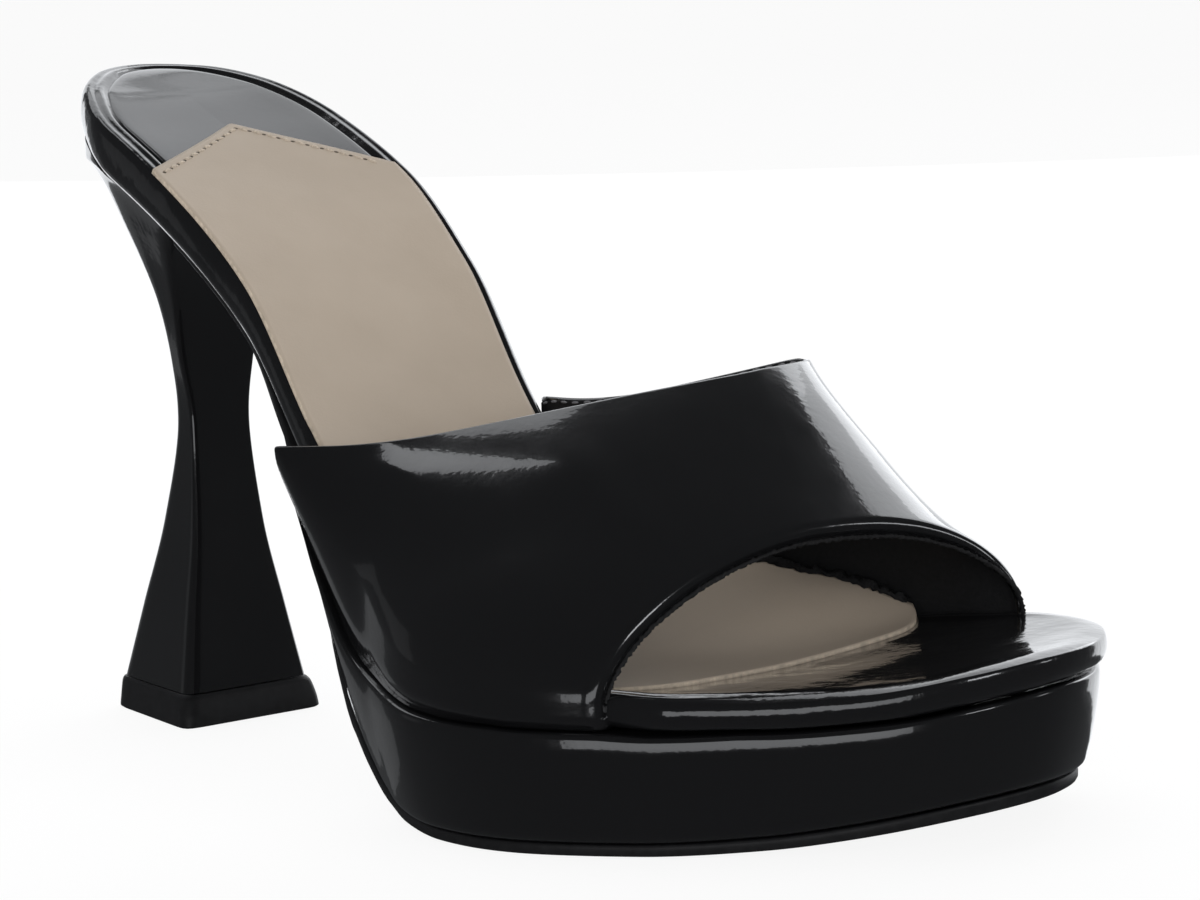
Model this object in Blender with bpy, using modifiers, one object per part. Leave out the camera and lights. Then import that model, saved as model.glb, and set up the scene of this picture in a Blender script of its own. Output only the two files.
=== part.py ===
"""Right-foot platform mule with a peep-toe band and a flared, waisted heel.

The toe points to -Y and the outer side of the foot to -X. A station is a share of the footbed's plan
length, 0 at the back of the heel and 1 at the tip of the toe. Sizes below are in millimetres, and
CENTRING brings the middle of the whole shoe to the origin.
"""
import math

import bmesh
import bpy
from mathutils import Vector

MM = 0.001
GAP = 0.3
CENTRING = Vector((-0.665, 0.350, 0.0))

# Footbed, measured in plan and at the middle of its top
LENGTH = 212.0
HEEL_END_Y = 105.65
BED_DEPTH, BED_DEPTH_AT_TOE = 9.3, 5.4
DEPTH_CHANGES = (0.60, 0.70)
BED_DISH = 1.4
DISH_HALF_WIDTH = 22.0
DISH_RUNS_OUT = (0.80, 0.90)
BED_COLUMNS = 9
LAST_COLUMNS = ("station", "half_width", "centre_x", "bed_z")
LAST = (
    (0.000, 0.0, -7.6, 120.4),
    (0.030, 13.4, -7.8, 119.0),
    (0.080, 21.0, -8.7, 116.1),
    (0.160, 25.7, -9.5, 109.4),
    (0.260, 26.2, -9.8, 99.3),
    (0.360, 24.8, -10.6, 83.9),
    (0.460, 24.1, -13.2, 61.0),
    (0.560, 29.5, -14.8, 41.6),
    (0.660, 38.8, -10.9, 29.3),
    (0.750, 43.2, -2.9, 25.9),
    (0.830, 41.0, 6.3, 25.7),
    (0.900, 35.3, 14.0, 25.8),
    (0.950, 25.6, 16.3, 26.5),
    (0.985, 13.9, 16.7, 28.1),
    (1.000, 0.0, 18.0, 29.2),
)

# The inner side of the toe stands a little higher than the outer side
TOE_LIFT, LIFT_STATIONS = 1.8, (0.84, 0.94)
LIFT_FROM_X, LIFT_OVER = 10.0, 30.0

# The footbed is banked at the ball: its inner side rises, while sole and band stay as they are
BANK, BANK_OVER, BANK_POWER = 2.3, 42.0, 1.4
BANK_STATIONS = (0.70, 0.82)
BANK_RISES, BANK_FADES = (8.0, 20.0), (30.0, 48.0)

# Rolled rim of the footbed: how far each ring stands in from the outline, and its share of the depth
RIM_COLUMNS = ("inset", "drop_share")
RIM = ((2.2, 0.00), (0.9, 0.05), (0.2, 0.18), (0.0, 0.36), (0.1, 0.86), (0.8, 0.97), (2.0, 1.00))

# The upper's feet stand between the footbed and the edge of the platform
UPPER_WALL = 1.5
UPPER_CLEARANCE = 0.4
BED_INSET_UNDER_UPPER = 3.3
INSET_STARTS = (0.45, 0.58)
INSET_ENDS = (0.80, 0.86)

# Platform and outsole
SOLE_SHEET = 2.0
TOE_SPRING, SPRING_STATION, SPRING_POWER = 7.2, 0.78, 2.5
UNDERSIDE_COLUMNS = ("station", "sheet_top_z")
UNDERSIDE = (
    (0.42, 60.5),
    (0.44, 52.2),
    (0.46, 43.0),
    (0.475, 34.5),
    (0.49, 25.0),
    (0.514, 14.6),
    (0.552, 7.4),
    (0.576, 4.3),
    (0.606, 2.6),
    (0.648, 2.05),
    (0.66, SOLE_SHEET),
    (0.78, SOLE_SHEET),
    (1.00, SOLE_SHEET),
)
RIDGE_COLUMNS = ("station", "ridge_z")
RIDGE = (
    (0.440, 52.8),
    (0.460, 45.2),
    (0.475, 39.4),
    (0.500, 32.2),
    (0.525, 27.4),
    (0.550, 24.7),
    (0.580, 23.0),
    (0.620, 21.6),
    (0.660, 20.7),
    (0.700, 20.3),
    (0.790, 20.1),
    (0.830, 18.9),
    (0.900, 17.8),
    (0.960, 16.4),
    (1.000, 16.2),
)
PLATFORM_BACK = 0.445
PLATFORM_INSETS = (4.5, 3.7, 1.4, 1.2, 3.6, 4.2)
RIDGE_ROUND, FOOT_ROUND, ROUND_LIMIT = 1.6, 1.2, 0.25
LEAST_RIDGE_SHARE = 0.12
SOLE_BACK = 0.243
SOLE_EDGE_COLUMNS = ("station", "inset")
SOLE_EDGE = (
    (0.24, 3.0),
    (0.34, 2.4),
    (0.42, 0.5),
    (0.48, 0.9),
    (0.52, 2.5),
    (0.58, 4.6),
    (0.65, 5.2),
    (1.00, 5.2),
)
SOLE_COLUMNS = 7

# Sock: the chevron at its back and its curved front
SOCK_INSET, SOCK_SHIFT = 1.9, -0.95
SOCK_SHEET = 0.9
CHEVRON_PEAK, CHEVRON_PEAK_V = 0.155, 0.09
CHEVRON_FALL_OUTER, CHEVRON_FALL_INNER = 0.072, 0.105
SOCK_FRONT_STATION, SOCK_FRONT_SLANT = 0.808, 0.020
SOCK_CORNER, SOCK_CORNER_CUT = 0.6, 0.035
SOCK_GRID = (24, 8)
PAD_INSET = 5.2
PAD_SHEET = 1.2
PAD_SHARE, PAD_SHIFT = 0.88, 0.04
PAD_STEP_BACK = 0.006
PAD_SPACING = 1.6
PAD_GRID = (10, 8)

# Upper: collar and front lines, crest heights, and the roundness of each side
COLLAR_OUTER, COLLAR_INNER, COLLAR_CREST = 0.465, 0.455, 0.677
COLLAR_SHARPNESS_OUTER, COLLAR_SHARPNESS_INNER, COLLAR_SKEW = 1.414, 1.06, 0.049
FRONT_OUTER, FRONT_INNER = 0.8132, 0.8346
CREST = ((0.55, 79.9), (0.70, 64.6), (0.85, 41.2))
LEAN_STATION, LEAN, LEAN_PER_STATION = 0.70, 27.5, -206.0
ROUND_OUTER, ROUND_INNER = 1.816, 2.40
COLLAR_FLARE, FLARE_DOWN = 5.5, 1.0
FLARE_REACH_CORNER, FLARE_REACH_FRONT, REACH_CHANGES = 0.22, 0.60, (0.13, 0.20)
SKIRT_SHARE = 0.07
FOOT_BELOW_BED = 1.0
UPPER_GRID = (18, 44)

# Heel: one row for each section from the top piece to the seat. A slant of 1 follows the footbed.
HEEL_COLUMNS = ("z", "slant", "breast_y", "back_y", "breast_half", "back_half", "centre_x", "squareness")
HEEL = (
    (6.0, 0.00, 73.3, 102.7, 13.3, 9.9, -10.2, 7.0),
    (20.0, 0.00, 75.5, 97.9, 10.6, 8.4, -9.9, 6.0),
    (36.0, 0.00, 77.7, 92.8, 7.7, 6.2, -9.6, 4.6),
    (54.0, 0.00, 79.2, 87.9, 6.4, 5.2, -9.4, 3.6),
    (66.0, 0.00, 78.9, 86.9, 8.0, 6.3, -9.5, 3.2),
    (77.0, 0.05, 76.4, 88.6, 10.4, 8.8, -9.5, 3.0),
    (84.0, 0.30, 69.5, 93.2, 15.4, 13.3, -9.4, 2.8),
    (90.0, 0.70, 59.5, 98.8, 20.0, 18.6, -9.3, 2.7),
    (95.0, 1.00, 55.3, 103.4, 24.2, 24.0, -9.2, 2.6),
)
TOP_PIECE = (
    (0.0, 0.00, 71.8, 102.8, 15.0, 11.0, -10.2, 8.0),
    (0.5, 0.00, 71.6, 103.0, 15.2, 11.2, -10.2, 8.0),
    (5.0, 0.00, 72.6, 102.7, 14.1, 10.5, -10.2, 8.0),
    (5.7, 0.00, 73.0, 102.4, 13.6, 10.2, -10.2, 8.0),
)
BREAST_SQUARENESS = 14.0
HEEL_RINGS_PER_ROW = 2
HEEL_GRID = 9
SEAT_MARGIN = 1.2

# Rows along the length: closest together where the form bends
END_STATION = 0.0015
ARCH_STATION, BALL_STATION, TOE_STATION = 0.445, 0.61, 0.80
HEEL_ROWS, ARCH_ROWS, BALL_ROWS, TOE_ROWS = 14, 11, 5, 11
LEAST_ROW_STEP = 0.002
SLOPE_STEP = 0.0015
LEAST_END_SHARE = 0.3
SMOOTH_ANGLE = 40.0

# Colour, roughness and coat of each finish
PATENT = ((0.006, 0.006, 0.007), 0.16, 0.9)
TAUPE = ((0.42, 0.35, 0.28), 0.55, 0.0)
RUBBER = ((0.012, 0.012, 0.013), 0.65, 0.0)


def end_angle(station):
    """Angle that opens quickly at both ends, so that a round end is read smoothly."""
    return math.acos(1.0 - 2.0 * min(max(station, 0.0), 1.0))


def slopes(knots, values):
    """Slopes of a smooth curve that never overshoots its knots."""
    steps = [(b - a) / (q - p) for p, q, a, b in zip(knots, knots[1:], values, values[1:])]
    inner = [2.0 * a * b / (a + b) if a * b > 0.0 else 0.0 for a, b in zip(steps, steps[1:])]
    return [steps[0], *inner, steps[-1]]


def follow(knots, values, at):
    """Value of the smooth curve through the knots."""
    at = min(max(at, knots[0]), knots[-1])
    index = max(k for k in range(len(knots) - 1) if knots[k] <= at)
    width = knots[index + 1] - knots[index]
    share = (at - knots[index]) / width
    slope = slopes(knots, values)
    start, end = values[index], values[index + 1]
    blend = share * share * (3.0 - 2.0 * share)
    lift = share * (1.0 - share) ** 2 * width * slope[index]
    settle = share * share * (1.0 - share) * width * slope[index + 1]
    return start + (end - start) * blend + lift - settle


def column(table, columns, name):
    place = columns.index(name)
    return [row[place] for row in table]


LAST_ANGLES = [end_angle(station) for station in column(LAST, LAST_COLUMNS, "station")]
HALF_WIDTHS = column(LAST, LAST_COLUMNS, "half_width")
CENTRES = column(LAST, LAST_COLUMNS, "centre_x")
BED_HEIGHTS = column(LAST, LAST_COLUMNS, "bed_z")
RIM_INSETS = column(RIM, RIM_COLUMNS, "inset")
RIM_DROPS = column(RIM, RIM_COLUMNS, "drop_share")
UNDERSIDE_STATIONS = column(UNDERSIDE, UNDERSIDE_COLUMNS, "station")
UNDERSIDE_HEIGHTS = column(UNDERSIDE, UNDERSIDE_COLUMNS, "sheet_top_z")
RIDGE_STATIONS = column(RIDGE, RIDGE_COLUMNS, "station")
RIDGE_HEIGHTS = column(RIDGE, RIDGE_COLUMNS, "ridge_z")
SOLE_EDGE_STATIONS = column(SOLE_EDGE, SOLE_EDGE_COLUMNS, "station")
SOLE_EDGE_INSETS = column(SOLE_EDGE, SOLE_EDGE_COLUMNS, "inset")


def half_width(station):
    return follow(LAST_ANGLES, HALF_WIDTHS, end_angle(station))


def centre_x(station):
    return follow(LAST_ANGLES, CENTRES, end_angle(station))


def bed_z(station):
    return follow(LAST_ANGLES, BED_HEIGHTS, end_angle(station))


def station_y(station):
    return HEEL_END_Y - LENGTH * station


def y_station(y):
    return (HEEL_END_Y - y) / LENGTH


def ramp(start, end, at):
    """0 before start, 1 after end, smooth between."""
    share = min(max((at - start) / (end - start), 0.0), 1.0)
    return share * share * (3.0 - 2.0 * share)


def stretch(height, station):
    """Upright height that a sheet of thickness 1 takes on a slope."""
    fall = height(station - SLOPE_STEP) - height(station + SLOPE_STEP)
    return math.hypot(1.0, fall / (2.0 * SLOPE_STEP * LENGTH))


def bed_depth(station):
    return BED_DEPTH + (BED_DEPTH_AT_TOE - BED_DEPTH) * ramp(*DEPTH_CHANGES, station)


def bed_dish(station, v):
    """Hollow across the footbed, fading out at its round ends and before the toe."""
    deep = BED_DISH * (1.0 - ramp(*DISH_RUNS_OUT, station))
    return deep * (1.0 - v * v) * min(half_width(station) / DISH_HALF_WIDTH, 1.0) ** 2


def bed_inset(station):
    """The footbed steps in where the upper's feet pass down beside it."""
    return BED_INSET_UNDER_UPPER * ramp(*INSET_STARTS, station) * (1.0 - ramp(*INSET_ENDS, station))


def wall_out(station):
    """Behind the ball the edge of the platform follows the upper out beside the footbed."""
    return bed_inset(station) - BED_INSET_UNDER_UPPER if station < BALL_STATION else 0.0


def toe_spring(station):
    return TOE_SPRING * max((station - SPRING_STATION) / (1.0 - SPRING_STATION), 0.0) ** SPRING_POWER


def sheet_top_z(station):
    """Top of the outsole: along the footbed at the arch, then down round the back of the platform."""
    at_arch = bed_z(station) - bed_depth(station) - 1.5 * GAP
    if station < UNDERSIDE_STATIONS[0]:
        return at_arch
    return min(at_arch, follow(UNDERSIDE_STATIONS, UNDERSIDE_HEIGHTS, station) + toe_spring(station))


def placed(point):
    """Vertex position in metres, with the lift of the sole and the bank of the footbed at the inner side."""
    x, y, z = point
    station = y_station(y)
    share = max(x - LIFT_FROM_X, 0.0) / LIFT_OVER
    lift = TOE_LIFT * share * share * ramp(*LIFT_STATIONS, station)
    bank = BANK * (max(x, 0.0) / BANK_OVER) ** BANK_POWER * ramp(*BANK_STATIONS, station)
    weight = ramp(*BANK_RISES, z) * (1.0 - ramp(*BANK_FADES, z))
    return (Vector((x, y, z + lift + (bank - lift) * weight)) + CENTRING) * MM


def edge_point(station, side, inset):
    """Point of the outline, moved in square to it, and not past the middle at a round end."""
    ahead, behind = min(station + SLOPE_STEP, 1.0), max(station - SLOPE_STEP, 0.0)
    run_x = centre_x(ahead) - centre_x(behind) + side * (half_width(ahead) - half_width(behind))
    run_y = station_y(ahead) - station_y(behind)
    size = math.hypot(run_x, run_y)
    half = half_width(station)
    left = max(half + run_y / size * inset, LEAST_END_SHARE * half)
    return centre_x(station) + side * left, station_y(station) - side * run_x / size * inset


def across(station, v, inset):
    """Point on the line from the outer edge (v = -1) to the inner edge (v = 1)."""
    outer_x, outer_y = edge_point(station, -1.0, inset)
    inner_x, inner_y = edge_point(station, 1.0, inset)
    share = (v + 1.0) / 2.0
    return outer_x + (inner_x - outer_x) * share, outer_y + (inner_y - outer_y) * share


def station_rows(first=END_STATION):
    """Stations shared by footbed, platform and outsole, close together where the form bends."""
    quarter = math.pi / 2.0
    heel = [ARCH_STATION * (1.0 - math.cos(quarter * k / HEEL_ROWS)) for k in range(HEEL_ROWS)]
    arch = [ARCH_STATION + (BALL_STATION - ARCH_STATION) * k / ARCH_ROWS for k in range(ARCH_ROWS)]
    ball = [BALL_STATION + (TOE_STATION - BALL_STATION) * k / BALL_ROWS for k in range(BALL_ROWS)]
    toe = [TOE_STATION + (1.0 - TOE_STATION) * math.sin(quarter * k / TOE_ROWS) for k in range(TOE_ROWS)]
    rows = heel + arch + ball + toe + [1.0 - END_STATION]
    return [first] + [station for station in rows if station > first + LEAST_ROW_STEP]


def border(rows, columns):
    """Places round the rim of a grid, in order."""
    out = [(row, 0) for row in range(rows)]
    out += [(rows - 1, column_) for column_ in range(1, columns)]
    out += [(row, columns - 1) for row in range(rows - 2, -1, -1)]
    return out + [(0, column_) for column_ in range(columns - 2, 0, -1)]


def finish_material(name, finish):
    colour, roughness, coat = finish
    material = bpy.data.materials.new(name)
    material.use_nodes = True
    shader = material.node_tree.nodes["Principled BSDF"]
    shader.inputs["Base Color"].default_value = (*colour, 1.0)
    shader.inputs["Roughness"].default_value = roughness
    shader.inputs["Coat Weight"].default_value = coat
    shader.inputs["Metallic"].default_value = 0.0
    return material


def add_object(name, mesh_cage, finish, collection):
    mesh = bpy.data.meshes.new(name)
    mesh_cage.to_mesh(mesh)
    mesh_cage.free()
    mesh.shade_smooth()
    mesh.set_sharp_from_angle(angle=math.radians(SMOOTH_ANGLE))
    mesh.materials.append(finish_material(name + "_finish", finish))
    made = bpy.data.objects.new(name, mesh)
    collection.objects.link(made)
    return made


def loft(name, place, row_values, columns, levels, finish, collection):
    """Closed solid: a full grid at the first and last level, joined by rings round its rim.

    place(level, row_value, v) gives a point in millimetres.
    """
    cage = bmesh.new()
    rows = len(row_values)
    rim = border(rows, columns)
    caps = {}
    rings = []
    for level in range(levels):
        whole = level in (0, levels - 1)
        cells = [(i, j) for i in range(rows) for j in range(columns)] if whole else rim
        made = {}
        for i, j in cells:
            v = -1.0 + 2.0 * j / (columns - 1)
            made[(i, j)] = cage.verts.new(placed(place(level, row_values[i], v)))
        rings.append([made[cell] for cell in rim])
        if whole:
            caps[level] = made
    for made in caps.values():
        for i in range(rows - 1):
            for j in range(columns - 1):
                cage.faces.new((made[(i, j)], made[(i + 1, j)], made[(i + 1, j + 1)], made[(i, j + 1)]))
    for upper, lower in zip(rings, rings[1:]):
        for k, vertex in enumerate(upper):
            after = (k + 1) % len(upper)
            cage.faces.new((vertex, upper[after], lower[after], lower[k]))
    bmesh.ops.recalc_face_normals(cage, faces=cage.faces)
    return add_object(name, cage, finish, collection)


def sheet(name, place, rows, columns, thickness, finish, collection):
    """Sheet of even thickness under an outer surface: place(u, v), with u and v from 0 to 1."""
    cage = bmesh.new()
    bmesh.ops.create_grid(cage, x_segments=rows, y_segments=columns, size=0.5)
    for vertex in cage.verts:
        vertex.co = placed(place(vertex.co.x + 0.5, vertex.co.y + 0.5))
    cage.normal_update()
    if sum(face.normal.z * face.calc_area() for face in cage.faces) < 0.0:
        bmesh.ops.reverse_faces(cage, faces=cage.faces)
    made = add_object(name, cage, finish, collection)
    wall = made.modifiers.new("wall", "SOLIDIFY")
    wall.thickness = thickness * MM
    wall.offset = -1.0
    wall.use_even_offset = True
    return made


def footbed_place(level, station, v):
    x, y = across(station, v, bed_inset(station) + RIM_INSETS[level])
    at = y_station(y)
    dish = bed_dish(at, v) if level == 0 else 0.0
    return x, y, bed_z(at) - dish - RIM_DROPS[level] * bed_depth(at)


def ridge_z(station):
    """Edge of the platform that the upper's foot stands on."""
    top = bed_z(station) - bed_depth(station) - GAP
    floor = platform_foot_z(station)
    ridge = follow(RIDGE_STATIONS, RIDGE_HEIGHTS, station) + toe_spring(station)
    return max(min(ridge, top - 0.5 * GAP), floor + LEAST_RIDGE_SHARE * (top - floor))


def platform_foot_z(station):
    """Underside of the platform, clear of the outsole on the steep stretch too."""
    return sheet_top_z(station) + GAP * stretch(sheet_top_z, station)


def platform_place(level, station, v):
    """Levels: top, foot of the core, ridge, its rounding, and the rounded foot of the wall."""
    x, y = across(station, v, PLATFORM_INSETS[level] + wall_out(station))
    at = y_station(y)
    top = bed_z(at) - bed_depth(at) - GAP
    ridge, foot = ridge_z(at), platform_foot_z(at)
    limit = ROUND_LIMIT * (ridge - foot)
    wall = (ridge - min(RIDGE_ROUND, limit), foot + min(FOOT_ROUND, limit))
    return x, y, (top, ridge, ridge - 0.3 * GAP, *wall, foot)[level]


def outsole_place(u, v):
    station = SOLE_STATIONS[round(u * (len(SOLE_STATIONS) - 1))]
    inset = follow(SOLE_EDGE_STATIONS, SOLE_EDGE_INSETS, station)
    x, y = across(station, 2.0 * v - 1.0, inset)
    return x, y, sheet_top_z(y_station(y))


def on_bed(station, v, inset, height):
    """Point above the dished top of the footbed, at a height square to its slope."""
    x, y = across(station, v, bed_inset(station) + inset)
    at = y_station(y)
    return x, y, bed_z(at) - bed_dish(at, v) + height * stretch(bed_z, at)


def chevron_station(v):
    fall = CHEVRON_FALL_OUTER if v < CHEVRON_PEAK_V else CHEVRON_FALL_INNER
    return CHEVRON_PEAK + fall * abs(v - CHEVRON_PEAK_V)


def sock_place(u, v):
    v = 2.0 * v - 1.0
    corner = max(abs(v) - SOCK_CORNER, 0.0) / (1.0 - SOCK_CORNER)
    front = SOCK_FRONT_STATION - SOCK_FRONT_SLANT * v - SOCK_CORNER_CUT * corner * corner
    station = chevron_station(v) + (front - chevron_station(v)) * u
    x, y, z = on_bed(station, v, SOCK_INSET, GAP + SOCK_SHEET)
    return x + SOCK_SHIFT, y, z


def heel_pad_place(u, v):
    v = 2.0 * v - 1.0
    front = chevron_station(v * PAD_SHARE + PAD_SHIFT) - PAD_STEP_BACK
    return on_bed(END_STATION + (front - END_STATION) * u ** PAD_SPACING, v, PAD_INSET, GAP + PAD_SHEET)


def crest_z(station):
    """Parabola through the three crest heights."""
    total = 0.0
    for here, height in CREST:
        share = 1.0
        for there, _ in CREST:
            if there != here:
                share *= (station - there) / (here - there)
        total += height * share
    return total


def collar_station(angle):
    turned = angle + COLLAR_SKEW * math.sin(angle) ** 2
    sharpness = COLLAR_SHARPNESS_OUTER if turned < math.pi / 2.0 else COLLAR_SHARPNESS_INNER
    foot = COLLAR_OUTER + (COLLAR_INNER - COLLAR_OUTER) * angle / math.pi
    return foot + (COLLAR_CREST - COLLAR_OUTER) * max(math.sin(turned), 0.0) ** sharpness


def front_station(angle):
    return FRONT_OUTER + (FRONT_INNER - FRONT_OUTER) * angle / math.pi


def upper_place(u, w):
    """Outer face: u runs from the collar to the toe opening, w from the outer foot over to the inner foot."""
    arch = min(max((w - SKIRT_SHARE) / (1.0 - 2.0 * SKIRT_SHARE), 0.0), 1.0)
    angle = math.pi * arch
    station = collar_station(angle) + (front_station(angle) - collar_station(angle)) * u
    reach = half_width(station) + UPPER_WALL + UPPER_CLEARANCE - bed_inset(station)
    roundness = 2.0 / (ROUND_OUTER if arch < 0.5 else ROUND_INNER)
    cosine, sine = math.cos(angle), max(math.sin(angle), 0.0)
    lean = (LEAN + LEAN_PER_STATION * (station - LEAN_STATION)) * sine ** 2
    beyond = max(SKIRT_SHARE - w, w - 1.0 + SKIRT_SHARE, 0.0) / SKIRT_SHARE
    flare_reach = FLARE_REACH_CORNER + (FLARE_REACH_FRONT - FLARE_REACH_CORNER) * ramp(*REACH_CHANGES, w)
    flare = COLLAR_FLARE * (1.0 - ramp(0.0, flare_reach, u)) * (1.0 - ramp(0.0, FLARE_DOWN, beyond))
    flare *= max(cosine, 0.0) ** 2
    x = centre_x(station) - math.copysign(reach * abs(cosine) ** roundness, cosine) + lean - flare
    foot = bed_z(station) - FOOT_BELOW_BED
    z = foot + (crest_z(station) - foot) * sine ** roundness
    z += (ridge_z(station) + GAP - z) * beyond
    return x, station_y(station), z


def heel_section(table, row):
    """Section of a heel table at a row number, read smoothly between rows."""
    places = list(range(len(table)))
    return [follow(places, column(table, HEEL_COLUMNS, name), row) for name in HEEL_COLUMNS]


def heel_place_for(table):
    def place(level, row_value, v):
        z, slant, breast, back, breast_half, back_half, centre, squareness = heel_section(
            table, level / HEEL_RINGS_PER_ROW)
        along = 2.0 * row_value - 1.0
        reach = max(abs(along), abs(v))
        power = BREAST_SQUARENESS if along < 0.0 else squareness
        size = (abs(along) ** power + abs(v) ** power) ** (1.0 / power)
        along, v = (along / size * reach, v / size * reach) if size else (0.0, 0.0)
        y = (breast + back) / 2.0 + along * (back - breast) / 2.0
        half = (breast_half + back_half) / 2.0 + along * (back_half - breast_half) / 2.0
        seat = y_station(y)
        limit = half_width(seat) - SEAT_MARGIN
        offset = min(max(v * half, -limit), limit) if slant > 0.0 else v * half
        return centre + offset, y, z + (bed_z(seat) - bed_depth(seat) - GAP - z) * slant
    return place


SOLE_STATIONS = station_rows(SOLE_BACK)


def build():
    for old in list(bpy.data.objects):
        bpy.data.objects.remove(old, do_unlink=True)
    shoe = bpy.data.collections.new("platform_mule")
    bpy.context.scene.collection.children.link(shoe)

    loft("insole", footbed_place, station_rows(), BED_COLUMNS, len(RIM), PATENT, shoe)
    platform_rows = station_rows(PLATFORM_BACK)
    loft("platform", platform_place, platform_rows, BED_COLUMNS, len(PLATFORM_INSETS), PATENT, shoe)
    sheet("outsole", outsole_place, len(SOLE_STATIONS) - 1, SOLE_COLUMNS, SOLE_SHEET, RUBBER, shoe)
    sheet("upper", upper_place, *UPPER_GRID, UPPER_WALL, PATENT, shoe)
    sheet("sock_lining", sock_place, *SOCK_GRID, SOCK_SHEET, TAUPE, shoe)
    sheet("heel_sock", heel_pad_place, *PAD_GRID, PAD_SHEET, PATENT, shoe)

    heel_rows = [k / (HEEL_GRID - 1) for k in range(HEEL_GRID)]
    heel_rings = (len(HEEL) - 1) * HEEL_RINGS_PER_ROW + 1
    top_piece_rings = (len(TOP_PIECE) - 1) * HEEL_RINGS_PER_ROW + 1
    loft("heel_block", heel_place_for(HEEL), heel_rows, HEEL_GRID, heel_rings, PATENT, shoe)
    loft("top_piece", heel_place_for(TOP_PIECE), heel_rows, HEEL_GRID, top_piece_rings, RUBBER, shoe)


build()
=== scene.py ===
# %% [markdown]
# # A platform mule in black patent leather
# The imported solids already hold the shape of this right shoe. In this lesson each solid is replaced by a
# finer piece that shows what the real one shows: rolled edges, a padded rim, stitches, cut edges and gloss.
# The shoe's sizes are in millimetres until a mesh is written, as shoemakers give them. Camera, floor and
# lights are in metres.

# %% Load the frame
import math
import random

import bmesh
import bpy
from mathutils import Matrix, Vector


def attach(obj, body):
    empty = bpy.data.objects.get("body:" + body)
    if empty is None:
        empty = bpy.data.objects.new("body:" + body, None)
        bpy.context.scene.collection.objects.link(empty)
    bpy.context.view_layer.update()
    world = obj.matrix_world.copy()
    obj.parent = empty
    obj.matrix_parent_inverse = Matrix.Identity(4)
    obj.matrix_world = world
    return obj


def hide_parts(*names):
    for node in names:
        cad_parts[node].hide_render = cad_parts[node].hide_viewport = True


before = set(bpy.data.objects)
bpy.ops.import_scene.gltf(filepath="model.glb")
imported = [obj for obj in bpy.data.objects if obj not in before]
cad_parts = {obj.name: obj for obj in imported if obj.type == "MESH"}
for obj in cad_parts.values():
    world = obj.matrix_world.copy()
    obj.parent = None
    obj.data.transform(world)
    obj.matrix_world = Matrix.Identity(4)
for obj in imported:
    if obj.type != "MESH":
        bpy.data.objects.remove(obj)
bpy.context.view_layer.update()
MM = 0.001
print("solids:", sorted(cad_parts))

# %% [markdown]
# ## Camera
# The photograph was taken with a long lens from low in front of the outer side. Its place was found by
# fitting the outlines of the shoe's pieces to the picture, at an estimated size. The camera stands there,
# turns a little away from the shoe's middle so that the shoe sits where it does in the picture, and rolls by
# a small angle.

# %% Camera
AZIMUTH, ELEVATION, ROLL = (math.radians(angle) for angle in (-35.669, 7.192, -2.595))
AIM = Vector((-9.615, 0.0, 55.05)) * MM
DISTANCE = 0.62987
FOCAL_PIXELS, FRAME_PIXELS, PAN_PIXELS = 3763.0, 1200.0, 122.2
SENSOR, CLIP_START, CLIP_END = 36.0, 0.01, 50.0


def direction(azimuth, elevation):
    """Unit vector from the shoe. Azimuth 0 is in front of the toe, a quarter turn is the inner side."""
    ground = math.cos(elevation)
    return Vector((math.sin(azimuth) * ground, -math.cos(azimuth) * ground, math.sin(elevation)))


back = direction(AZIMUTH, ELEVATION)
level = Vector((math.cos(AZIMUTH), math.sin(AZIMUTH), 0.0))
right = Matrix.Rotation(ROLL, 3, back) @ level
pan = math.atan(PAN_PIXELS / FOCAL_PIXELS)
turned_back = back * math.cos(pan) - right * math.sin(pan)
turned_right = right * math.cos(pan) + back * math.sin(pan)
turn = Matrix((turned_right, turned_back.cross(turned_right), turned_back)).transposed()

lens = bpy.data.cameras.new("camera")
lens.sensor_fit = "HORIZONTAL"
lens.sensor_width = SENSOR
lens.lens = SENSOR * FOCAL_PIXELS / FRAME_PIXELS
lens.clip_start, lens.clip_end = CLIP_START, CLIP_END
camera = bpy.data.objects.new("camera", lens)
camera.matrix_world = Matrix.Translation(AIM + back * DISTANCE) @ turn.to_4x4()
bpy.context.scene.collection.objects.link(camera)
bpy.context.scene.camera = camera
print("camera at", [round(value, 4) for value in camera.matrix_world.translation])

# %% [markdown]
# ## Floor
# A pale floor that turns up into a wall all round, so that every view has the same background. Patent
# leather is a dark mirror: a white floor would show in it as a white band. The floor is therefore left out
# of reflections, and it glows by itself, so that it is white without bright lamps.

# %% Floor
FLOOR_PROFILE = ((0.0, 0.0), (1.5, 0.0), (2.2, 0.06), (2.7, 0.35), (3.0, 0.9), (3.1, 2.2))
FLOOR_STEPS, FLOOR_MERGE = 72, 1e-5
FLOOR_GREY, FLOOR_WHITE = (0.10, 0.10, 0.10, 1.0), (1.0, 1.0, 1.0, 1.0)
FLOOR_GLOW, FLOOR_ROUGHNESS, FLOOR_SHEEN = 0.9, 0.9, 0.1


def new_material(name, roughness):
    """Material with one Principled shader; returns the material, its nodes and links, and the shader."""
    material = bpy.data.materials.new(name)
    material.use_nodes = True
    nodes, links = material.node_tree.nodes, material.node_tree.links
    shader = nodes["Principled BSDF"]
    shader.inputs["Roughness"].default_value = roughness
    return material, nodes, links, shader


def link_object(name, cage, materials):
    """Writes the bmesh to a smooth-shaded object at the origin."""
    mesh = bpy.data.meshes.new(name)
    cage.to_mesh(mesh)
    cage.free()
    mesh.shade_smooth()
    for material in materials:
        mesh.materials.append(material)
    made = bpy.data.objects.new(name, mesh)
    bpy.context.scene.collection.objects.link(made)
    return made


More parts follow.
